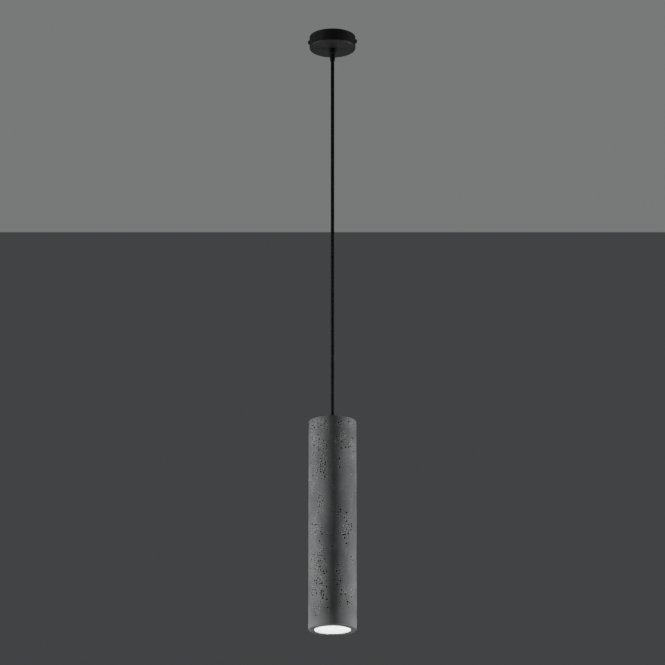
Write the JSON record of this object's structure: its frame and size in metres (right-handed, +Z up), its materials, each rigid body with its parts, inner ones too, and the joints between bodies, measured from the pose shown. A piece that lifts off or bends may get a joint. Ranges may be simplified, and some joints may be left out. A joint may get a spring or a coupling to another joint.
{
  "type": "pendant ceiling light",
  "caption": "Pendant ceiling light: round black metal canopy, straight black cord and a long cast concrete tube shade, open below, with a spot lamp inside.",
  "frame": {"origin": "on the hanging axis, in the plane of the ceiling: the middle of the ceiling bracket's upper face", "axes": "+Z up along the hanging axis; X runs through the canopy's two side screws"},
  "size_m": [0.086, 0.08, 1.056],
  "materials": {
    "black_metal": "satin",
    "black_plastic": "satin",
    "cord_jacket": "satin",
    "concrete": "matte",
    "zinc_steel": "satin",
    "brass_contact": "satin",
    "rubber_seal": "matte",
    "clear_nylon": "satin",
    "holder_ceramic": "satin",
    "lamp_white": "satin",
    "circuit_board": "satin",
    "lamp_glow": "satin",
    "wire_brown": "satin",
    "wire_blue": "satin",
    "wire_green": "satin"
  },
  "bodies": {
    "canopy": {"ceiling_bracket": "zinc_steel", "canopy_cup": "black_metal", "side_screw_left": "black_metal", "side_screw_right": "black_metal", "canopy_grip_body": "black_plastic", "canopy_grip_cap": "black_plastic", "canopy_grip_washer": "zinc_steel", "canopy_grip_nut": "zinc_steel", "terminal_block": "clear_nylon", "terminal_live": "brass_contact", "terminal_earth": "brass_contact", "terminal_neutral": "brass_contact", "terminal_screw_live_inner": "zinc_steel", "terminal_screw_live_outer": "zinc_steel", "terminal_screw_earth_inner": "zinc_steel", "terminal_screw_earth_outer": "zinc_steel", "terminal_screw_neutral_inner": "zinc_steel", "terminal_screw_neutral_outer": "zinc_steel", "terminal_block_screw": "zinc_steel", "earth_lug_canopy": "zinc_steel", "earth_screw_canopy": "brass_contact", "cord_tail_canopy": "cord_jacket", "wire_live_canopy": "wire_brown", "wire_neutral_canopy": "wire_blue", "wire_earth_canopy": "wire_green", "wire_earth_link": "wire_green"},
    "cord_bend_top": {"cord_flex_top": "cord_jacket"},
    "cord": {"cord_drop": "cord_jacket", "cord_flex_bottom": "cord_jacket"},
    "shade": {"concrete_shade": "concrete", "shade_grip_washer": "rubber_seal", "shade_grip_body": "black_plastic", "shade_grip_screw": "zinc_steel", "roof_washer": "zinc_steel", "roof_nut": "zinc_steel", "threaded_tube": "zinc_steel", "hanger_bracket": "zinc_steel", "hanger_nut_upper": "zinc_steel", "hanger_nut_lower": "zinc_steel", "lampholder": "holder_ceramic", "contact_live": "brass_contact", "contact_neutral": "brass_contact", "wire_live_holder": "wire_brown", "wire_neutral_holder": "wire_blue", "wire_earth_holder": "wire_green", "holder_screw_front": "zinc_steel", "holder_screw_back": "zinc_steel", "cord_tail_shade": "cord_jacket", "earth_lug_shade": "zinc_steel", "earth_screw_shade": "brass_contact"},
    "lamp": {"lamp_base": "lamp_white", "lamp_pin_left": "brass_contact", "lamp_pin_right": "brass_contact", "lamp_body": "lamp_white", "lamp_driver_board": "circuit_board", "lamp_led_board": "circuit_board", "lamp_optic": "lamp_glow", "lamp_lens": "lamp_glow"}
  },
  "joints": [
    {"name": "cord_turn", "type": "hinge", "parent": "canopy", "child": "cord_bend_top", "pos_m": [0, 0, -0.0505], "axis": [0, 0, 1], "range_deg": [-90, 90]},
    {"name": "cord_swing", "type": "hinge", "parent": "cord_bend_top", "child": "cord", "pos_m": [0, 0, -0.0505], "axis": [0, 1, 0], "range_deg": [-25, 25]},
    {"name": "shade_tilt", "type": "hinge", "parent": "cord", "child": "shade", "pos_m": [0, 0, -0.6827], "axis": [0, 1, 0], "range_deg": [-20, 20]},
    {"name": "lamp_twist", "type": "hinge", "parent": "shade", "child": "lamp", "pos_m": [0, 0, -0.989], "axis": [0, 0, 1], "range_deg": [-22, 0]}
  ]
}
